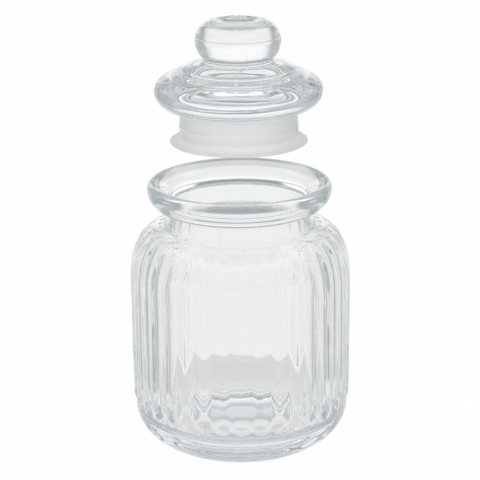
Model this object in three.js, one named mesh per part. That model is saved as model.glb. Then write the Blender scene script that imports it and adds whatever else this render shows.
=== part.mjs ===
// Apothecary jar: a ribbed pressed-glass jar, its glass stopper lid and the soft seal on the lid's plug.
// Millimetres, +Z up. The origin is the centre of the foot, where the jar stands on a table.
// The lid is drawn lifted straight up, clear of the mouth; lowering it by 41.4 seats it on the lip.
import * as THREE from "three";

// ---- jar body, outside
const RIB_COUNT = 36;
const RIB_HEIGHT = 1.15; // crest above the groove between two ribs
const RIB_ROUNDING = 1.5; // power of a half cosine: full crests, soft grooves
const WALL_R = 53.85; // bottom of the grooves, so the crests are 110 across
const FOOT_R = [32.5, 35.3]; // flat bearing ring the jar stands on
const PUSH_UP = { centre: 2.6, r: 25, edge: 1.9 }; // hollow under the base
const FOOT_EDGE = { inside: [31.3, 0.6], outside: [38.5, 1.5] };
const HEEL_R = 28.7; // the heel is a quarter ellipse from here out to the wall
const HEEL_H = 19.6;
const HEEL_START = -54; // degrees below straight outwards, where the heel leaves the foot
const RIB_FOOT_Z = [21.5, 27.0]; // a rib's rounded lower tip lies between these heights
const SHOULDER_Z = 80.6; // the straight wall ends
const SHOULDER_POWER = 2.45; // fullness of the shoulder curve
const RIB_TOP_R = [42.0, 52.8]; // ribs sink back into the shoulder between these radii
const NECK_R = 37.2;
const NECK_Z = [112.6, 121.9]; // cylindrical outside of the neck
const NECK_CORNER = { r: 0.5, low: 0.1, high: 0.9 }; // softened corner between the shoulder and the neck
const LIP_Z = 131.5; // widest plane of the lip
const LIP_UNDER = { r: 37.0, drop: 9.4 }; // its underside is a quarter ellipse from here out to the rim
const ROLL_R = 3.05; // rolled edge of the rim
const RIM_R = 45.15;
const RIM_Z = 134.85;

// ---- jar body, inside
const WALL = 3.5; // glass in a groove
const INNER_RIB = [0.5, 0.85]; // how far the inside follows the ribs, on the wall and the shoulder
const INNER_RIB_Z = [23.0, 30.5]; // the inside starts to follow the ribs between these heights
const INNER_RIB_RISE = 15; // height above the straight wall over which it comes to follow them more
const BORE_R = 33.8; // inside of the neck, where the seal's fin runs
const BORE_Z = [111.4, 128.3];
const SEAT_R = 34.85; // narrow end of the conical seat under the lid's flange
const SEAT_Z = 129.95;
const FLOOR_R = 22;
const FLOOR_Z = 10.5; // at the centre; the floor falls by FLOOR_CROWN towards the heel
const FLOOR_CROWN = 0.5;
const INNER_HEEL_Z = 24;

// ---- lid, heights measured from the widest plane of its flange
const FLANGE_Z = 180.0; // that plane, while the lid is lifted
const FLANGE_R = 40.45;
const FLANGE_TOP = { r: 32.6, h: 7.2 }; // where the flange's rounded top edge begins
const FLANGE_UNDER = { r: 30.2, h: -9.0 };
const KNOB_R = 20.5;
const KNOB_Z = 23.6;
const KNOB_TOP = { r: 10.5, h: 33.55 }; // crest round the dimple
const DIMPLE = { depth: 1.5, r: 7, share: 0.7 }; // at radius r it has reached this share of its depth
const KNOB_UNDER = { r: 13.5, h: 9.2 }; // centre radius and height of the curve under the knob
const WAIST = { r: 16.75, h: 14.1 };
const WAIST_FOOT = { out: 1, down: 0.9 }; // softened corner between the waist and the dome
const STEP = { r: 25.8, h: 7.6, round: 3.7 }; // rounded edge of the dome's step
const PLUG_R = 26.9;
const PLUG_BOTTOM = -19.6;
const PLUG_EDGE = 1.2;
const HOLLOW_R = 22.6; // inside of the plug's skirt, at its mouth
const HOLLOW_TOP = -5.0;
const HOLLOW_CORNER = [[4.0, 0.8], [0.8, 4.5]]; // inwards from the skirt and down from the top

// ---- seal
const FIT = 0.3; // clearance between the seal and the glass
const SLEEVE_R = 28.45;
const SLEEVE_TOP = -9.5;
const BEAD = { r: 28.8, top: -16.6, bottom: -20.2 }; // low band round the sleeve
const FIN_R = 33.4;
const FIN_Z = -24.9;
const FIN_HALF = 0.4; // half the fin's thickness at its edge
const FIN_ROOT = { under: 1.5, out: 2.2, bend: 1.4, top: 2.9 }; // its flare off the sleeve, up from FIN_Z
const HOOK_R = 24.9; // lip turned in under the plug
const HOOK_HEIGHT = 1.2;
const HOOK_CORNER = { in: 0.6, down: 0.3 };
const BEAD_CORNER = 0.5;

// ---- facets
const SMOOTH_SIDES = 72;
const RIBBED_SIDES = RIB_COUNT * 4; // four facets across one rib
const LID_SIDES = 48;

const TURN = 2 * Math.PI;

function ramp(a, b, x) {
  const t = Math.min(1, Math.max(0, (x - a) / (b - a)));
  return t * t * (3 - 2 * t);
}

// Points of an elliptical arc in the profile plane; angles in degrees from straight outwards.
function arc(r, z, radiusR, radiusZ, from, to, steps) {
  const points = [];
  for (let i = 0; i <= steps; i++) {
    const a = THREE.MathUtils.degToRad(from + ((to - from) * i) / steps);
    points.push([r + radiusR * Math.cos(a), z + radiusZ * Math.sin(a)]);
  }
  return points;
}

// Height of a rib's section, 1 on the crest and 0 in the groove, at angle a round the jar.
// tip grows from 0 to a half along the rounded end of a rib.
function ribSection(a, tip) {
  const t = (a * RIB_COUNT) / TURN;
  const off = Math.min(0.5, Math.hypot(t - Math.round(t), tip));
  return Math.max(0, Math.cos(Math.PI * off)) ** RIB_ROUNDING;
}

// One ring of points round the axis, pushed out along its own normal by a rib of height rib.
function ring(sides, r, z, rib = 0, normal = [1, 0], tip = 0) {
  const points = [];
  for (let i = 0; i < sides; i++) {
    const a = (TURN * i) / sides;
    const h = rib * ribSection(a, tip);
    const radius = r + normal[0] * h;
    points.push([radius * Math.cos(a), radius * Math.sin(a), z + normal[1] * h]);
  }
  return points;
}

function smoothRings(profile) {
  return profile.map(([r, z]) => ring(SMOOTH_SIDES, r, z));
}

// Closed surface through a stack of rings, whose counts are equal or whole multiples of each other.
// The first and last are one point each, on the axis.
function skin(rings) {
  const out = [];
  const triangle = (a, b, c) => {
    if (a !== b && b !== c && c !== a) out.push(...a, ...b, ...c);
  };
  for (let k = 1; k < rings.length; k++) {
    const [lower, upper] = [rings[k - 1], rings[k]];
    const n = Math.max(lower.length, upper.length);
    const at = (points, i) => points[Math.floor((i * points.length) / n) % points.length];
    for (let i = 0; i < n; i++) {
      triangle(at(lower, i), at(lower, i + 1), at(upper, i + 1));
      triangle(at(lower, i), at(upper, i + 1), at(upper, i));
    }
  }
  const geometry = new THREE.BufferGeometry();
  geometry.setAttribute("position", new THREE.Float32BufferAttribute(out, 3));
  geometry.computeVertexNormals();
  return geometry;
}

// Solid of revolution about Z through (radius, height) points.
function turned(profile, sides) {
  const points = profile.map(([r, z]) => new THREE.Vector2(r, z));
  return new THREE.LatheGeometry(points, sides).rotateX(Math.PI / 2);
}

// Point on the plain shoulder, moved inwards by inset; u runs from 0 at the wall to 1 at the neck.
function shoulder(u, inset = 0) {
  const power = 2 / SHOULDER_POWER;
  const point = (v) => {
    const a = (THREE.MathUtils.clamp(v, 0, 1) * Math.PI) / 2;
    return new THREE.Vector2(
      NECK_R + (WALL_R - NECK_R) * Math.cos(a) ** power,
      SHOULDER_Z + (NECK_Z[0] - SHOULDER_Z) * Math.sin(a) ** power,
    );
  };
  const along = point(u + 0.02).sub(point(u - 0.02)).normalize();
  const { x: r, y: z } = point(u);
  return { r: r - along.y * inset, z: z + along.x * inset, normal: [along.y, -along.x] };
}

// Push-up, foot and smooth heel.
function jarBase() {
  const profile = [
    [PUSH_UP.r, PUSH_UP.edge],
    FOOT_EDGE.inside,
    [FOOT_R[0], 0],
    [FOOT_R[1], 0],
    FOOT_EDGE.outside,
    ...arc(HEEL_R, HEEL_H, WALL_R - HEEL_R, HEEL_H, HEEL_START, 0, 4),
  ];
  return [[[0, 0, PUSH_UP.centre]], ...smoothRings(profile)];
}

// Ribbed wall and shoulder, between the heel and the neck.
function jarRibs() {
  const [foot, full] = RIB_FOOT_Z;
  const rings = [0.5, 0.38, 0.25, 0.12, 0].map((tip) =>
    ring(RIBBED_SIDES, WALL_R, full - 2 * tip * (full - foot), RIB_HEIGHT, [1, 0], tip),
  );
  rings.push(ring(RIBBED_SIDES, WALL_R, SHOULDER_Z, RIB_HEIGHT));
  for (const u of [0.2, 0.36, 0.5, 0.62, 0.73, 0.83, 0.9]) {
    const { r, z, normal } = shoulder(u);
    rings.push(ring(RIBBED_SIDES, r, z, RIB_HEIGHT * ramp(...RIB_TOP_R, r), normal));
  }
  return rings;
}

// Neck, full underside of the lip, rolled rim, conical seat and bore.
function jarMouth() {
  const { r: underR, drop } = LIP_UNDER;
  return smoothRings([
    [NECK_R + NECK_CORNER.r, NECK_Z[0] + NECK_CORNER.low],
    [NECK_R, NECK_Z[0] + NECK_CORNER.high],
    [NECK_R, NECK_Z[1]],
    ...arc(underR, LIP_Z, RIM_R - underR, drop, -85, -15, 4),
    ...arc(RIM_R - ROLL_R, LIP_Z, ROLL_R, RIM_Z - LIP_Z, 0, 115, 5),
    [SEAT_R, SEAT_Z],
    [BORE_R, BORE_Z[1]],
    [BORE_R, BORE_Z[0]],
  ]);
}

// Inside of the shoulder, wall and floor, down to the axis; it follows the ribs in part.
function jarInside() {
  const [onWall, onShoulder] = INNER_RIB;
  const rings = [0.86, 0.72, 0.56, 0.38, 0.2, 0].map((u) => {
    const { r, z, normal } = shoulder(u, WALL);
    const share = onWall + (onShoulder - onWall) * ramp(SHOULDER_Z, SHOULDER_Z + INNER_RIB_RISE, z);
    const fade = ramp(RIB_TOP_R[0] - WALL, RIB_TOP_R[1] - WALL, r);
    return ring(RIBBED_SIDES, r, z, RIB_HEIGHT * share * fade, normal);
  });
  const inside = WALL_R - WALL;
  for (const part of [1, 2 / 3, 1 / 3]) {
    const z = THREE.MathUtils.lerp(...INNER_RIB_Z, part);
    rings.push(ring(RIBBED_SIDES, inside, z, RIB_HEIGHT * onWall * ramp(...INNER_RIB_Z, z)));
  }
  const drop = INNER_HEEL_Z - FLOOR_Z + FLOOR_CROWN;
  const heel = arc(FLOOR_R, INNER_HEEL_Z, inside - FLOOR_R, drop, 0, -90, 4);
  return [...rings, ...smoothRings(heel), [[0, 0, FLOOR_Z]]];
}

function jarBody() {
  return skin([...jarBase(), ...jarRibs(), ...jarMouth(), ...jarInside()]);
}

// Pressed lid in one piece: hollow plug, fat rounded flange, stepped dome, waist and dimpled knob.
function lidGlass() {
  const plug = [
    [0, HOLLOW_TOP],
    ...HOLLOW_CORNER.map(([inwards, down]) => [HOLLOW_R - inwards, HOLLOW_TOP - down]),
    [HOLLOW_R, PLUG_BOTTOM + PLUG_EDGE],
    [HOLLOW_R + PLUG_EDGE, PLUG_BOTTOM],
    [PLUG_R - PLUG_EDGE, PLUG_BOTTOM],
    [PLUG_R, PLUG_BOTTOM + PLUG_EDGE],
    [PLUG_R, FLANGE_UNDER.h - 0.2],
  ];
  const { r: underR, h: underH } = FLANGE_UNDER;
  const { r: topR, h: topH } = FLANGE_TOP;
  const flange = [
    ...arc(underR, 0, FLANGE_R - underR, -underH, -90, 0, 5),
    ...arc(topR, 0, FLANGE_R - topR, topH, 30, 90, 2),
  ];
  const dome = [
    ...arc(STEP.r, STEP.h, STEP.round, STEP.round, 15, 80, 2),
    [WAIST.r + WAIST_FOOT.out, WAIST.h - WAIST_FOOT.down],
  ];
  const knob = [
    [WAIST.r, WAIST.h],
    ...arc(KNOB_UNDER.r, KNOB_Z, KNOB_R - KNOB_UNDER.r, KNOB_UNDER.h, -58, -20, 2),
    ...arc(KNOB_TOP.r, KNOB_Z, KNOB_R - KNOB_TOP.r, KNOB_TOP.h - KNOB_Z, 0, 90, 4),
    [DIMPLE.r, KNOB_TOP.h - DIMPLE.share * DIMPLE.depth],
    [0, KNOB_TOP.h - DIMPLE.depth],
  ];
  const profile = [...plug, ...flange, ...dome, ...knob];
  return turned(profile, LID_SIDES).translate(0, 0, FLANGE_Z);
}

// Soft seal: sleeve on the plug, lip turned in under it and one thin flared fin.
function sealRing() {
  const inside = PLUG_R + FIT;
  const shelf = PLUG_BOTTOM - FIT;
  const profile = [
    [inside, SLEEVE_TOP],
    [inside, PLUG_BOTTOM + PLUG_EDGE - FIT],
    [inside - PLUG_EDGE, shelf],
    [HOOK_R, shelf],
    [HOOK_R, shelf - HOOK_HEIGHT],
    [inside - HOOK_CORNER.in, shelf - HOOK_HEIGHT - HOOK_CORNER.down],
    [SLEEVE_R, FIN_Z + FIN_ROOT.under],
    ...arc(FIN_R - FIN_HALF, FIN_Z, FIN_HALF, FIN_HALF, -90, 90, 2),
    [SLEEVE_R + FIN_ROOT.out, FIN_Z + FIN_ROOT.bend],
    [SLEEVE_R, FIN_Z + FIN_ROOT.top],
    [BEAD.r, BEAD.bottom],
    [BEAD.r, BEAD.top],
    [SLEEVE_R, BEAD.top + BEAD_CORNER],
    [SLEEVE_R, SLEEVE_TOP],
  ];
  return turned([...profile, profile[0]], LID_SIDES).translate(0, 0, FLANGE_Z);
}

function piece(name, geometry, look) {
  const mesh = new THREE.Mesh(geometry, new THREE.MeshStandardMaterial(look));
  mesh.name = name;
  return mesh;
}

const GLASS = { color: 0xe3ebea, roughness: 0.05, metalness: 0, transparent: true, opacity: 0.35 };
const POLYTHENE = { color: 0xe8e9ea, roughness: 0.5, metalness: 0 };

const group = new THREE.Group();
group.name = "apothecary_jar";
group.add(piece("jar_body", jarBody(), GLASS));
group.add(piece("lid_glass", lidGlass(), GLASS));
group.add(piece("seal_ring", sealRing(), POLYTHENE));

export default group;
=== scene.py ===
"""A ribbed apothecary jar with its glass stopper lid lifted clear of the mouth, on a white studio floor."""

import math

import bpy
import numpy as np
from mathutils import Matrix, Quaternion, Vector


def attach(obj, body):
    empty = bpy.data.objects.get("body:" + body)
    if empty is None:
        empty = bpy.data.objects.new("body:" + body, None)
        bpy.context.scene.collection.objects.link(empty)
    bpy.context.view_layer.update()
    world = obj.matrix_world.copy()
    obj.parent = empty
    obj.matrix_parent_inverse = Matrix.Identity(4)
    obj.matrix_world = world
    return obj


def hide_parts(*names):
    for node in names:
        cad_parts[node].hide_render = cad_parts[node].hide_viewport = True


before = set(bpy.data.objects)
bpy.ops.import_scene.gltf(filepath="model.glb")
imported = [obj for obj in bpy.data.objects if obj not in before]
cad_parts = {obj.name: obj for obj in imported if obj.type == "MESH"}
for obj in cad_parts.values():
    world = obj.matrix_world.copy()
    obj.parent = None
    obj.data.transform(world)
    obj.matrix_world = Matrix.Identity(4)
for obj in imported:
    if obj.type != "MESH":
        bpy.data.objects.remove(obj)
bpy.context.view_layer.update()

MM = 0.001
TURN = 2 * math.pi

# ---- jar, in millimetres
RIB_COUNT = 36
RIB_HEIGHT = 1.15
RIB_ROUNDING = 1.5  # power of a half cosine: full crests, soft grooves
RIB_SIDES, RIB_CROWD = 12, 0.45  # directions across a rib, and how far they crowd towards the grooves
WALL_R = 53.85
PUSH_UP = ((0.5, 2.6), (12, 2.45), (22, 1.9))  # hollow under the base
FOOT_R = (32.5, 35.3)  # flat bearing ring
FOOT_INSIDE, FOOT_OUTSIDE = (31.3, 0.6), ((36.9, 0.5), (38.5, 1.5))
HEEL_R, HEEL_H, HEEL_START = 28.7, 19.6, -54
RIB_FOOT_Z = (21.5, 27.0)
SHOULDER_Z, SHOULDER_POWER = 80.6, 2.45
RIB_TOP_R = (42.0, 52.8)
NECK_R, NECK_Z = 37.2, (112.6, 121.9)
NECK_CORNER = (0.5, 0.1, 0.9)  # softened corner on the shoulder: how far out, and its two heights
LIP_Z, LIP_UNDER = 131.5, (37.0, 9.4)  # widest plane of the lip, and its underside: inner radius and drop
ROLL_R, RIM_R, RIM_Z = 3.05, 45.15, 134.85
WALL = 3.5
BORE_R, BORE_Z = 33.8, (111.4, 128.3)
SEAT_R, SEAT_Z = 34.85, 129.95
FLOOR_R, FLOOR_Z, FLOOR_CROWN, INNER_HEEL_Z = 22.0, 10.5, 0.5, 24.0
SEAM_VALLEY = 3  # the mould seam runs in this groove, counted clockwise from +X, and in the one opposite
SEAM_HEIGHT, SEAM_HALF = 0.22, 0.06  # its half width is a share of a rib
PARTING_Z, PARTING_HEIGHT, PARTING_HALF = 2.3, 0.16, 0.28  # line where the base plate met the mould
KNURL_Z, KNURL_FADE, KNURL_DEPTH = (0.25, 1.9), 0.5, 0.22  # short grip marks round the foot
KNURLS_PER_RIB = 3
INNER_RIB = 0.5  # how far the inside follows the ribs where the shoulder begins
INNER_RIB_MORE = (  # shares added between two heights, up the shoulder and down towards the foot
    (0.35, SHOULDER_Z, SHOULDER_Z + 15),
    (0.2, 80, 62),
    (0.15, 58, 44),
)
INNER_RIB_FOOT, INNER_RIB_TOP = (1, 2), (-0.5, -1)  # its ends, from those of the ribs outside
WAVE, WAVE_R, WAVE_UNDER_BORE = 0.12, (8, 30), 12  # slow unevenness inside, and where it fades out

# ---- lid, heights from the widest plane of its flange
FLANGE_Z, FLANGE_R = 180.0, 40.45
FLANGE_TOP = (32.6, 7.2)
FLANGE_UNDER = (30.2, -9.0)
KNOB_R, KNOB_Z = 20.5, 23.6
KNOB_TOP = (10.5, 33.55)
KNOB_UNDER = (13.5, 9.2)  # centre radius and height of the curve under the knob
DIMPLE = 1.5
DIMPLE_SHARES = ((9, 0.08), (7, 0.7), (5.5, 0.92), (4.5, 0.97), (3, 1), (0.5, 1))  # radius, share of depth
WAIST, WAIST_FOOT = (16.75, 14.1), (1, 0.9)  # the softened corner under it: how far out and down
STEP_R, STEP_H, STEP_ROUND = 25.8, 7.6, 3.7
PLUG_R, PLUG_BOTTOM, PLUG_EDGE = 26.9, -19.6, 1.2
HOLLOW_R, HOLLOW_TOP = 22.6, -5.0
HOLLOW_CORNER = ((4.0, 0.8), (0.8, 4.5))  # inwards from the skirt and down from the top
LID_SEAM = math.radians(267.5)  # the lid's mould seam, and its twin opposite
LID_SEAM_HEIGHT, LID_SEAM_HALF = 0.16, math.radians(0.9)
LID_SEAM_CLEAR = math.radians(2.6)  # the even directions keep this far from a seam
LID_SEAM_R, LID_SEAM_H = (10.8, 16), (-6, -2)  # it rises between these radii and heights
KNOB_PARTING = (KNOB_Z + 1.6, 0.2, 0.25)  # line round the knob: height, how proud, half width
LID_WAVE, LID_WAVE_R, LID_WAVE_H = 0.05, (2, 10), (32.5, 29)  # slow unevenness, and where it fades

# ---- seal
FIT = 0.3
SLEEVE_R, SLEEVE_TOP, SLEEVE_EDGE = 28.45, -9.5, 0.3
BEAD_R, BEAD_TOP, BEAD_BOTTOM, BEAD_CORNER = 28.8, -16.6, -20.2, 0.5
FIN_R, FIN_Z, FIN_HALF = 33.4, -24.9, 0.4
FIN_ROOT_UNDER, FIN_ROOT_TOP = 1.5, 2.9  # up from FIN_Z
FIN_FLARE = (2.2, 1.4)  # out from the sleeve, and up from FIN_Z
HOOK_R, HOOK_HEIGHT, HOOK_CORNER = 24.9, 1.2, (0.6, 0.3)
SEAL_LINES, SEAL_LINE_DEPTH, SEAL_LINE_HALF = (BEAD_TOP + 0.4, BEAD_BOTTOM - 0.4), 0.35, 0.22
FIN_WAVE = 0.06
ROUND_SIDES = 192  # directions round the lid and the seal

# ---- camera
TARGET = Vector((0, 0, 0.10386))
DISTANCE, PITCH, ROLL = 0.7, math.radians(18.27), math.radians(-0.6)
LENS = 105.9

# ---- glass
JAR_RIPPLE, LID_RIPPLE, GLASS_DENSITY = 0.03, 0.04, 2.8
DEPTH_TINT, SHADOW_TINT = (0.7, 0.8, 0.84, 1), (0.9, 0.93, 0.93, 1)

# ---- studio. What the glass meets depends on a ray's direction: z is the sine of its elevation, and
# back is 1 straight behind the jar and -1 in front. A pair is a level and its change in that quarter.
GROUND, SWEEP, HORIZON = (0.7, -0.25), (0.89, -0.46), (0.92, -0.46)  # changed in the flanks
ABOVE = (0.52, 0.5)  # changed behind the jar
ROOF = (0.42, 0.35)  # changed in front of it
NADIR, NEAR_FLOOR, HIGH, ZENITH = 0.4, 0.88, 1.1, 0.35
DIM_TINT, BRIGHT_TINT = (0.93, 0.985, 1.0), (0.995, 0.998, 1.0)
FLOOR_HALF, FLOOR_DROP = 4.0, 0.0005
CONTACT_SHADOW_SHIFT, CONTACT_SHADOW_STRETCH = (0, -0.014, 0), (0.74, 1.6, 1)  # painted contact shadow under the jar, seen only through the glass
CONTACT_SHADOW_FADE, CONTACT_SHADOW_CORE, CONTACT_SHADOW_LEVELS = (0.013, 0.0265), (0.006, 0.022), (0.86, 0.4)
BOX_SIDE = 0.9
SOFT_BOXES = (("soft_box_left", (-0.8, -0.8, 0.7), 5.8), ("soft_box_right", (0.8, -0.8, 0.6), 4.4))
BOUNCES = 40


def ramp(a, b, x):
    """Smooth step from 0 at a to 1 at b."""
    t = np.clip((x - a) / (b - a), 0, 1)
    return t * t * (3 - 2 * t)


def arc(r, z, radius_r, radius_z, start, end, steps):
    """Points of an elliptical arc in the profile plane; angles in degrees from straight outwards."""
    angles = np.radians(np.linspace(start, end, steps + 1))
    return [(r + radius_r * math.cos(a), z + radius_z * math.sin(a)) for a in angles]


def rounded(points, times):
    """The same outline with its corners cut, its ends kept."""
    for _ in range(times):
        cut = [points[0]]
        for (r0, z0), (r1, z1) in zip(points, points[1:]):
            cut.append((0.75 * r0 + 0.25 * r1, 0.75 * z0 + 0.25 * z1))
            cut.append((0.25 * r0 + 0.75 * r1, 0.25 * z0 + 0.75 * z1))
        cut.append(points[-1])
        points = cut
    return points


def divided(points, counts):
    """The outline with each of its straight stretches split into a number of equal parts."""
    out = [points[0]]
    for (r0, z0), (r1, z1), count in zip(points, points[1:], counts):
        out += [(r0 + (r1 - r0) * i / count, z0 + (z1 - z0) * i / count) for i in range(1, count + 1)]
    return out


def outward(outline, closed):
    """Unit normals of an outline, to the right of its direction."""
    if closed:
        along = np.roll(outline, -1, axis=0) - np.roll(outline, 1, axis=0)
    else:
        along = np.gradient(outline, axis=0)
    along /= np.linalg.norm(along, axis=1)[:, None]
    return np.stack([along[:, 1], -along[:, 0]], axis=1)


def revolved(name, sections, angles, closed=False):
    """A skin round Z through (outline, relief) sections; relief(r, z, angle) lifts it along its normal."""
    outline = np.array([p for points, _ in sections for p in points])
    normals = outward(outline, closed)
    lift, start = [], 0
    for points, relief in sections:
        r, z = outline[start : start + len(points)].T
        lift.append(relief(r[:, None], z[:, None], angles[None, :]) + np.zeros((len(r), len(angles))))
        start += len(points)
    lift = np.concatenate(lift)
    radius = outline[:, :1] + normals[:, :1] * lift
    height = outline[:, 1:] + normals[:, 1:] * lift
    rings = np.stack([radius * np.cos(angles), radius * np.sin(angles), height], axis=2) * MM
    return skin(name, rings, closed)


def skin(name, rings, closed):
    """Quads between neighbouring rings; an open skin ends in a fan round the axis at both ends."""
    count, sides = rings.shape[:2]
    index = np.arange(count * sides).reshape(count, sides)
    upper = np.roll(index, -1, axis=0) if closed else index[1:]
    lower = index if closed else index[:-1]
    quads = np.stack([lower, np.roll(lower, -1, 1), np.roll(upper, -1, 1), upper], axis=2).reshape(-1, 4)
    points = rings.reshape(-1, 3)
    faces = quads.tolist()
    if not closed:
        poles = [(0, 0, rings[0, :, 2].mean()), (0, 0, rings[-1, :, 2].mean())]
        bottom, top = len(points), len(points) + 1
        points = np.concatenate([points, poles])
        faces += [(bottom, (i + 1) % sides, i) for i in range(sides)]
        last = index[-1].tolist()
        faces += [(top, last[i], last[(i + 1) % sides]) for i in range(sides)]
    mesh = bpy.data.meshes.new(name)
    mesh.from_pydata(points.tolist(), [], faces)
    mesh.shade_smooth()
    mesh.validate()
    obj = bpy.data.objects.new(name, mesh)
    bpy.context.scene.collection.objects.link(obj)
    return obj


def plain(r, z, angle):
    """No relief."""
    return 0.0


# ---------------------------------------------------------------- jar


def rib_angles():
    """Directions round the jar, closer together in the grooves than on the crests."""
    t = np.arange(RIB_SIDES) / RIB_SIDES - 0.5
    t = (1 - RIB_CROWD) * t + RIB_CROWD * 0.5 * np.sin(math.pi * t)
    rib = np.arange(RIB_COUNT)[:, None]
    return ((rib + t[None, :]) * TURN / RIB_COUNT).ravel()


def rib_section(angle, end):
    """Rib height from 0 to 1; end grows from 0 to a half along a rib's rounded tip."""
    t = angle * RIB_COUNT / TURN
    across = t - np.round(t)
    return np.maximum(0.0, np.cos(math.pi * np.minimum(0.5, np.hypot(across, end)))) ** RIB_ROUNDING


def seam(angle, z):
    """Thin uneven flash in two opposite grooves."""
    along = angle * RIB_COUNT / TURN + SEAM_VALLEY + 0.5
    off = np.minimum(along % RIB_COUNT, (along + RIB_COUNT / 2) % RIB_COUNT)
    off = np.minimum(off, RIB_COUNT / 2 - off)
    uneven = 0.7 + 0.3 * np.sin(z * 0.83) * np.sin(z * 0.31 + 1.0)
    return np.exp(-((off / SEAM_HALF) ** 2)) * uneven


def rib_relief(r, z, angle):
    """Ribs between their rounded feet and tops, and the mould seams in two of the grooves."""
    arched = z > SHOULDER_Z
    low = 0.5 * np.clip((RIB_FOOT_Z[1] - z) / (RIB_FOOT_Z[1] - RIB_FOOT_Z[0]), 0, 1)
    high = 0.5 * np.clip((RIB_TOP_R[1] - r) / (RIB_TOP_R[1] - RIB_TOP_R[0]), 0, 1)
    section = rib_section(angle, np.where(arched, 0.5 * high, low))
    ribs = RIB_HEIGHT * section * ramp(RIB_TOP_R[0], RIB_TOP_R[1], r)
    return ribs + SEAM_HEIGHT * seam(angle, z) * ramp(0.5, 0.3, np.where(arched, high, low))


def base_relief(r, z, angle):
    """Parting line and grip marks, outside the bearing ring only."""
    parting = PARTING_HEIGHT * np.exp(-(((z - PARTING_Z) / PARTING_HALF) ** 2)) * (r > FOOT_R[1])
    marks = 0.5 - 0.5 * np.cos(angle * RIB_COUNT * KNURLS_PER_RIB)
    low, high = KNURL_Z
    band = ramp(low, low + KNURL_FADE, z) * ramp(high, high - KNURL_FADE, z) * (r > FOOT_R[1])
    return parting - KNURL_DEPTH * marks * band


def wall_wave(r, z, angle):
    """Inside of the jar: it follows the ribs in part, with slow ripples that fade near bore and axis."""
    slow = np.sin(3 * angle + z * 0.05) * np.sin(z * 0.11 + 0.7) + 0.5 * np.sin(7 * angle - z * 0.09)
    fine = 0.35 * np.sin(17 * angle + z * 0.21) * np.sin(z * 0.27 + 2.0)
    wave = WAVE * (slow + fine) * ramp(*WAVE_R, r) * ramp(BORE_Z[0], BORE_Z[0] - WAVE_UNDER_BORE, z)
    foot = ramp(RIB_FOOT_Z[0] + INNER_RIB_FOOT[0], RIB_FOOT_Z[1] + INNER_RIB_FOOT[1], z)
    top = ramp(RIB_TOP_R[0] + INNER_RIB_TOP[0], RIB_TOP_R[1] + INNER_RIB_TOP[1], r)
    follow = sum((share * ramp(start, end, z) for share, start, end in INNER_RIB_MORE), INNER_RIB)
    ribs = follow * RIB_HEIGHT * rib_section(angle, 0.0) * foot * top
    return wave - ribs


def shoulder(u, inset=0.0):
    """Point of the plain shoulder moved inwards; u runs from 0 at the wall to 1 at the neck."""
    power = 2 / SHOULDER_POWER

    def point(v):
        a = min(1.0, max(0.0, v)) * math.pi / 2
        return np.array(
            [
                NECK_R + (WALL_R - NECK_R) * math.cos(a) ** power,
                SHOULDER_Z + (NECK_Z[0] - SHOULDER_Z) * math.sin(a) ** power,
            ]
        )

    along = point(u + 0.02) - point(u - 0.02)
    along /= np.linalg.norm(along)
    r, z = point(u)
    return r - along[1] * inset, z + along[0] * inset


def jar_base():
    near, far = FOOT_OUTSIDE
    under = [*PUSH_UP, FOOT_INSIDE, (FOOT_R[0], 0), (FOOT_R[1], 0), near]
    heel = arc(HEEL_R, HEEL_H, WALL_R - HEEL_R, HEEL_H, HEEL_START, 0, 24)
    edge = divided([far, heel[0]], [6])[:-1]
    return rounded(under, 2) + divided([near, far], [5])[1:-1] + edge + heel


def jar_ribs():
    foot, full = RIB_FOOT_Z
    wall = [(WALL_R, z) for z in np.linspace(foot, full, 17)]
    wall += [(WALL_R, z) for z in np.linspace(full, SHOULDER_Z, 13)[1:]]
    arch = [shoulder(u) for u in np.linspace(0.04, 0.93, 44)]
    return wall + arch


def jar_mouth():
    out, low, high = NECK_CORNER
    neck = [(NECK_R + out, NECK_Z[0] + low), (NECK_R, NECK_Z[0] + high), (NECK_R, NECK_Z[1])]
    under = arc(LIP_UNDER[0], LIP_Z, RIM_R - LIP_UNDER[0], LIP_UNDER[1], -85, -6, 20)
    roll = arc(RIM_R - ROLL_R, LIP_Z, ROLL_R, RIM_Z - LIP_Z, 0, 115, 12)
    bore = [(SEAT_R, SEAT_Z), (BORE_R, BORE_Z[1]), (BORE_R, BORE_Z[0] + 4)]
    return rounded(neck, 2) + under + roll + rounded(bore, 2)


def jar_inside():
    corner = [(BORE_R, BORE_Z[0] + 3.8), (BORE_R, BORE_Z[0] - 0.4)]
    corner += [shoulder(0.8, WALL), shoulder(0.76, WALL)]
    arch = rounded(corner, 3) + [shoulder(u, WALL) for u in np.linspace(0.74, 0.0, 24)]
    r = WALL_R - WALL
    wall = [(r, z) for z in np.linspace(SHOULDER_Z, INNER_HEEL_Z, 14)[1:-1]]
    heel = arc(FLOOR_R, INNER_HEEL_Z, r - FLOOR_R, INNER_HEEL_Z - FLOOR_Z + FLOOR_CROWN, 0, -90, 22)
    floor = [(r, FLOOR_Z - FLOOR_CROWN * (r / FLOOR_R) ** 2) for r in (20, 14, 8, 3)]
    return arch + wall + heel + floor


def jar_body():
    sections = [
        (jar_base(), base_relief),
        (jar_ribs(), rib_relief),
        (jar_mouth(), plain),
        (jar_inside(), wall_wave),
    ]
    return revolved("jar_glass_body", sections, rib_angles())


# ---------------------------------------------------------------- lid


def lid_angles():
    """Even directions, with a few more either side of each mould seam."""
    even = np.arange(ROUND_SIDES) * TURN / ROUND_SIDES
    near = np.radians([-2.2, -1.5, -1.0, -0.6, -0.3, 0.0, 0.3, 0.6, 1.0, 1.5, 2.2])
    seams = [LID_SEAM, LID_SEAM - math.pi]
    clear = [a for a in even if all(abs(a - s) > LID_SEAM_CLEAR for s in seams)]
    return np.sort(np.concatenate([clear] + [s + near for s in seams]))


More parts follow.
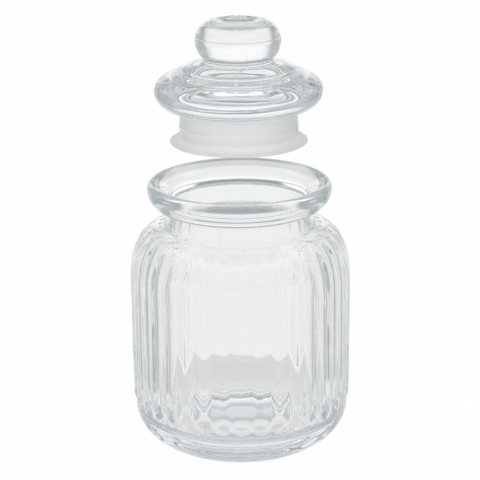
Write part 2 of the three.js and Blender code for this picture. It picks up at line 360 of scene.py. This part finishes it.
def lid_relief(r, z, angle):
    """Mould seams up to the knob's crest, the line round the knob, and a slow unevenness."""
    h = z - FLANGE_Z
    level, proud, half = KNOB_PARTING
    off = np.minimum(np.abs(angle - LID_SEAM), np.abs(angle - LID_SEAM + math.pi))
    line = np.exp(-((off / LID_SEAM_HALF) ** 2)) * ramp(*LID_SEAM_R, r) * ramp(*LID_SEAM_H, h)
    parting = proud * np.exp(-(((h - level) / half) ** 2)) * (r > KNOB_R - 1)
    uneven = LID_WAVE * np.sin(3 * angle + 0.4 * h) * np.sin(0.5 * h)
    uneven = uneven * ramp(*LID_WAVE_R, r) * ramp(*LID_WAVE_H, h)
    return LID_SEAM_HEIGHT * line + parting + uneven


def lid_profile():
    hollow = [
        (0.5, HOLLOW_TOP),
        (10, HOLLOW_TOP - 0.1),
        *[(HOLLOW_R - inwards, HOLLOW_TOP - down) for inwards, down in HOLLOW_CORNER],
        (HOLLOW_R, PLUG_BOTTOM + PLUG_EDGE),
        (HOLLOW_R + PLUG_EDGE, PLUG_BOTTOM),
        (PLUG_R - PLUG_EDGE, PLUG_BOTTOM),
        (PLUG_R, PLUG_BOTTOM + PLUG_EDGE),
        (PLUG_R, FLANGE_UNDER[1] - 0.2),
    ]
    flange = arc(FLANGE_UNDER[0], 0, FLANGE_R - FLANGE_UNDER[0], -FLANGE_UNDER[1], -90, 0, 20)
    flange += arc(FLANGE_TOP[0], 0, FLANGE_R - FLANGE_TOP[0], FLANGE_TOP[1], 4, 90, 18)
    dome = arc(STEP_R, STEP_H, STEP_ROUND, STEP_ROUND, 15, 80, 8)
    dome.append((WAIST[0] + WAIST_FOOT[0], WAIST[1] - WAIST_FOOT[1]))
    knob = [WAIST] + arc(KNOB_UNDER[0], KNOB_Z, KNOB_R - KNOB_UNDER[0], KNOB_UNDER[1], -58, -2, 12)
    crest, top = KNOB_TOP
    for start, end, steps in ((0, 18, 18), (22, 90, 17)):
        knob += arc(crest, KNOB_Z, KNOB_R - crest, top - KNOB_Z, start, end, steps)
    dimple = [(r, top - share * DIMPLE) for r, share in DIMPLE_SHARES]
    outline = rounded(hollow, 3) + flange + rounded(dome + knob[:2], 1)[:-1] + knob[2:] + dimple
    return [(r, h + FLANGE_Z) for r, h in outline]


def lid_glass():
    return revolved("lid_glass_body", [(lid_profile(), lid_relief)], lid_angles())


# ---------------------------------------------------------------- seal


def seal_relief(r, z, angle):
    """The soft fin waves a little round its edge, and two fine lines run round the sleeve."""
    out = ramp(SLEEVE_R + 1, FIN_R, r)
    h = z - FLANGE_Z
    lines = sum(np.exp(-(((h - line) / SEAL_LINE_HALF) ** 2)) for line in SEAL_LINES)
    on_sleeve = (r > SLEEVE_R - 0.5) * (r < BEAD_R + 0.6)
    return FIN_WAVE * np.sin(5 * angle + 0.6) * out - SEAL_LINE_DEPTH * lines * on_sleeve


def seal_profile():
    inside = PLUG_R + FIT
    shelf = PLUG_BOTTOM - FIT
    outline = [
        (inside, SLEEVE_TOP),
        (inside, PLUG_BOTTOM + PLUG_EDGE - FIT),
        (inside - PLUG_EDGE, shelf),
        (HOOK_R, shelf),
        (HOOK_R, shelf - HOOK_HEIGHT),
        (inside - HOOK_CORNER[0], shelf - HOOK_HEIGHT - HOOK_CORNER[1]),
        (SLEEVE_R, FIN_Z + FIN_ROOT_UNDER),
    ]
    outline = rounded(outline, 2)
    outline += arc(FIN_R - FIN_HALF, FIN_Z, FIN_HALF, FIN_HALF, -90, 90, 8)
    outer = [
        (SLEEVE_R + FIN_FLARE[0], FIN_Z + FIN_FLARE[1]),
        (SLEEVE_R, FIN_Z + FIN_ROOT_TOP),
        (BEAD_R, BEAD_BOTTOM),
        (BEAD_R, BEAD_TOP),
        (SLEEVE_R, BEAD_TOP + BEAD_CORNER),
        (SLEEVE_R, SLEEVE_TOP - SLEEVE_EDGE),
        (SLEEVE_R - SLEEVE_EDGE, SLEEVE_TOP),
    ]
    return [(r, h + FLANGE_Z) for r, h in outline + rounded(outer, 2)]


def seal_ring():
    angles = np.arange(ROUND_SIDES) * TURN / ROUND_SIDES
    return revolved("seal_ring_soft", [(seal_profile(), seal_relief)], angles, closed=True)


# ---------------------------------------------------------------- materials


class Nodes:
    """Small helper that adds and joins nodes in one tree."""

    def __init__(self, tree):
        self.tree = tree
        tree.nodes.clear()

    def add(self, kind, inputs=None, **settings):
        node = self.tree.nodes.new(kind)
        for key, value in settings.items():
            setattr(node, key, value)
        for key, value in (inputs or {}).items():
            self.feed(node.inputs[key], value)
        return node

    def feed(self, socket, value):
        if isinstance(value, bpy.types.NodeSocket):
            self.tree.links.new(value, socket)
        else:
            socket.default_value = value

    def math(self, operation, *values):
        node = self.add("ShaderNodeMath", operation=operation)
        for socket, value in zip(node.inputs, values):
            self.feed(socket, value)
        return node.outputs[0]

    def step(self, value, low, high, to_low=0.0, to_high=1.0):
        inputs = {"Value": value, "From Min": low, "From Max": high, "To Min": to_low, "To Max": to_high}
        return self.add("ShaderNodeMapRange", inputs, interpolation_type="SMOOTHSTEP").outputs[0]

    def blend(self, factor, first, second):
        node = self.add("ShaderNodeMix", data_type="FLOAT")
        self.feed(node.inputs[0], factor)
        self.feed(node.inputs[2], first)
        self.feed(node.inputs[3], second)
        return node.outputs[0]

    def noise(self, vector, scale, detail):
        inputs = {"Vector": vector, "Scale": scale, "Detail": detail}
        return self.add("ShaderNodeTexNoise", inputs).outputs[0]

    def colours(self, factor, first, second):
        node = self.add("ShaderNodeMix", data_type="RGBA")
        self.feed(node.inputs["Factor"], factor)
        self.feed(node.inputs[6], (*first, 1))
        self.feed(node.inputs[7], (*second, 1))
        return node.outputs[2]


def material(name):
    made = bpy.data.materials.new(name)
    made.use_nodes = True
    return made, Nodes(made.node_tree)


def glass(name, ripple):
    """Pressed soda glass: clear, faintly blue-green in depth, with slow ripples and fine handling haze.

    Shadow rays pass it, so that the soft boxes light the seal inside the neck.
    """
    made, nodes = material(name)
    place = nodes.add("ShaderNodeTexCoord").outputs["Object"]
    slow = nodes.noise(place, 55, 1.5)
    haze = nodes.noise(place, 260, 3.0)
    tint = nodes.colours(slow, (0.995, 0.993, 0.996), (0.982, 0.984, 0.988))
    rough = nodes.step(haze, 0.45, 0.8, 0.0, 0.02)
    bump = nodes.add("ShaderNodeBump", {"Strength": ripple, "Distance": 0.0004, "Height": slow})
    shader = nodes.add(
        "ShaderNodeBsdfPrincipled",
        {
            "Base Color": tint,
            "Roughness": rough,
            "IOR": 1.52,
            "Transmission Weight": 1.0,
            "Normal": bump.outputs[0],
        },
    )
    depth = nodes.add("ShaderNodeVolumeAbsorption", {"Color": DEPTH_TINT, "Density": GLASS_DENSITY})
    clear = nodes.add("ShaderNodeBsdfTransparent", {"Color": SHADOW_TINT})
    shadow = nodes.add("ShaderNodeLightPath").outputs["Is Shadow Ray"]
    through = nodes.add("ShaderNodeMixShader", {"Fac": shadow})
    nodes.feed(through.inputs[1], shader.outputs[0])
    nodes.feed(through.inputs[2], clear.outputs[0])
    output = nodes.add("ShaderNodeOutputMaterial", {"Surface": through.outputs[0]})
    nodes.feed(output.inputs["Volume"], depth.outputs[0])
    return made


def soft_seal():
    """Milky translucent polythene with a fine matt grain."""
    made, nodes = material("milky_polythene")
    place = nodes.add("ShaderNodeTexCoord").outputs["Object"]
    cloud = nodes.noise(place, 90, 3.0)
    grain = nodes.noise(place, 2200, 2.0)
    tint = nodes.colours(cloud, (0.97, 0.97, 0.975), (0.93, 0.935, 0.94))
    rough = nodes.step(grain, 0.3, 0.7, 0.38, 0.5)
    bump = nodes.add("ShaderNodeBump", {"Strength": 0.12, "Distance": 0.0001, "Height": grain})
    shader = nodes.add(
        "ShaderNodeBsdfPrincipled",
        {
            "Base Color": tint,
            "Roughness": rough,
            "IOR": 1.5,
            "Transmission Weight": 0.5,
            "Subsurface Weight": 0.2,
            "Subsurface Radius": (1.0, 1.0, 1.0),
            "Subsurface Scale": 0.001,
            "Normal": bump.outputs[0],
        },
    )
    nodes.add("ShaderNodeOutputMaterial", {"Surface": shader.outputs[0]})
    return made


def studio_floor():
    """White to the eye. The glass sees through it to the world, but for a painted contact shadow under the
    jar.
    """
    made, nodes = material("pale_sweep")
    place = nodes.add("ShaderNodeTexCoord").outputs["Object"]
    cloud = nodes.noise(place, 3, 2.0)
    tone = nodes.colours(cloud, (1, 1, 1), (0.985, 0.985, 0.985))
    glow = nodes.add("ShaderNodeEmission", {"Color": tone, "Strength": 1.0})
    # Painted contact shadow: a cool grey glow under the jar, darker towards its edge, met only by rays that
    # are not the camera's.
    away = nodes.add("ShaderNodeVectorMath", {0: place, 1: CONTACT_SHADOW_SHIFT}, operation="ADD").outputs[0]
    away = nodes.add("ShaderNodeVectorMath", {0: away, 1: CONTACT_SHADOW_STRETCH}, operation="MULTIPLY").outputs[0]
    away = nodes.add("ShaderNodeVectorMath", {0: away}, operation="LENGTH").outputs["Value"]
    shade = nodes.step(away, *CONTACT_SHADOW_CORE, *CONTACT_SHADOW_LEVELS)
    shaded = nodes.add("ShaderNodeEmission", {"Color": (0.9, 0.98, 1.0, 1), "Strength": shade})
    clear = nodes.add("ShaderNodeBsdfTransparent")
    contact = nodes.add("ShaderNodeMixShader", {"Fac": nodes.step(away, *CONTACT_SHADOW_FADE)})
    nodes.feed(contact.inputs[1], shaded.outputs[0])
    nodes.feed(contact.inputs[2], clear.outputs[0])
    seen = nodes.add("ShaderNodeLightPath").outputs["Is Camera Ray"]
    both = nodes.add("ShaderNodeMixShader", {"Fac": seen})
    nodes.feed(both.inputs[1], contact.outputs[0])
    nodes.feed(both.inputs[2], glow.outputs[0])
    nodes.add("ShaderNodeOutputMaterial", {"Surface": both.outputs[0]})
    return made


# ---------------------------------------------------------------- studio


def varied(nodes, share, pair):
    """A level that changes by the pair's second value where share is 1."""
    level, change = pair
    return nodes.math("MULTIPLY_ADD", share, change, level)


def studio_world():
    """White to the eye; the glass meets a bright back and front, and grey flanks, in layers by height."""
    world = bpy.data.worlds.new("studio")
    bpy.context.scene.world = world
    world.use_nodes = True
    nodes = Nodes(world.node_tree)
    way = nodes.add("ShaderNodeTexCoord").outputs["Generated"]
    split = nodes.add("ShaderNodeSeparateXYZ", {"Vector": way})
    x, y, z = split.outputs
    flat = nodes.math("SQRT", nodes.math("ADD", nodes.math("MULTIPLY", x, x), nodes.math("MULTIPLY", y, y)))
    back = nodes.math("DIVIDE", y, nodes.math("MAXIMUM", flat, 0.001))
    flanks = nodes.math("MULTIPLY", nodes.step(back, 0.05, 0.3), nodes.step(back, 0.84, 0.7))
    front = nodes.step(back, 0.2, -0.6)
    behind = nodes.step(back, 0.75, 0.93)
    layers = [  # from straight down to straight up; each blends in between two values of z
        (-0.82, -0.74, varied(nodes, flanks, GROUND)),
        (-0.58, -0.5, NEAR_FLOOR),
        (-0.44, -0.4, varied(nodes, flanks, SWEEP)),
        (-0.08, -0.04, varied(nodes, flanks, HORIZON)),
        (0.04, 0.08, varied(nodes, behind, ABOVE)),
        (0.22, 0.32, varied(nodes, front, ROOF)),
        (0.55, 0.65, HIGH),
        (0.84, 0.9, ZENITH),
    ]
    level = NADIR
    for low, high, value in layers:
        level = nodes.blend(nodes.step(z, low, high), level, value)
    seen = nodes.add("ShaderNodeLightPath").outputs["Is Camera Ray"]
    tint = nodes.colours(nodes.step(level, 0.3, 0.9), DIM_TINT, BRIGHT_TINT)
    unseen = nodes.add("ShaderNodeBackground", {"Color": tint, "Strength": level})
    white = nodes.add("ShaderNodeBackground", {"Color": (1, 1, 1, 1), "Strength": 1.0})
    both = nodes.add("ShaderNodeMixShader", {"Fac": seen})
    nodes.feed(both.inputs[1], unseen.outputs[0])
    nodes.feed(both.inputs[2], white.outputs[0])
    nodes.add("ShaderNodeOutputWorld", {"Surface": both.outputs[0]})


def soft_box(name, location, power):
    light = bpy.data.lights.new(name, "AREA")
    light.shape = "RECTANGLE"
    light.size = BOX_SIDE
    light.size_y = BOX_SIDE
    light.energy = power
    box = bpy.data.objects.new(name, light)
    box.location = location
    box.rotation_euler = (TARGET - Vector(location)).to_track_quat("-Z", "Y").to_euler()
    box.visible_glossy = False
    box.visible_transmission = False
    bpy.context.scene.collection.objects.link(box)


def floor_plane():
    mesh = bpy.data.meshes.new("studio_floor")
    signs = ((-1, -1), (1, -1), (1, 1), (-1, 1))
    corners = [(x * FLOOR_HALF, y * FLOOR_HALF, -FLOOR_DROP) for x, y in signs]
    mesh.from_pydata(corners, [], [(0, 1, 2, 3)])
    floor = bpy.data.objects.new("studio_floor", mesh)
    bpy.context.scene.collection.objects.link(floor)
    mesh.materials.append(studio_floor())


def camera():
    data = bpy.data.cameras.new("camera")
    data.lens = LENS
    data.clip_start = 0.01
    eye = bpy.data.objects.new("camera", data)
    eye.location = TARGET + Vector((0, -math.cos(PITCH), math.sin(PITCH))) * DISTANCE
    turn = (TARGET - eye.location).to_track_quat("-Z", "Y")
    eye.rotation_euler = (turn @ Quaternion((0, 0, 1), ROLL)).to_euler()
    bpy.context.scene.collection.objects.link(eye)
    bpy.context.scene.camera = eye


def light_paths(bounces):
    """Thick glass turns light many times inside before it lets it out."""
    cycles = bpy.context.scene.cycles
    cycles.max_bounces = bounces
    cycles.glossy_bounces = bounces
    cycles.transmission_bounces = bounces


def place(obj, look, body, node, slot):
    obj.data.materials.append(look)
    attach(obj, body)
    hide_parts(node)


place(jar_body(), glass("jar_pressed_glass", JAR_RIPPLE), "jar", "jar_body", "jar_glass")
place(lid_glass(), glass("lid_pressed_glass", LID_RIPPLE), "lid", "lid_glass", "lid_glass")
place(seal_ring(), soft_seal(), "lid", "seal_ring", "seal_plastic")

studio_world()
floor_plane()
for name, location, power in SOFT_BOXES:
    soft_box(name, location, power)
camera()
light_paths(BOUNCES)
bpy.context.scene.view_settings.view_transform = "Standard"
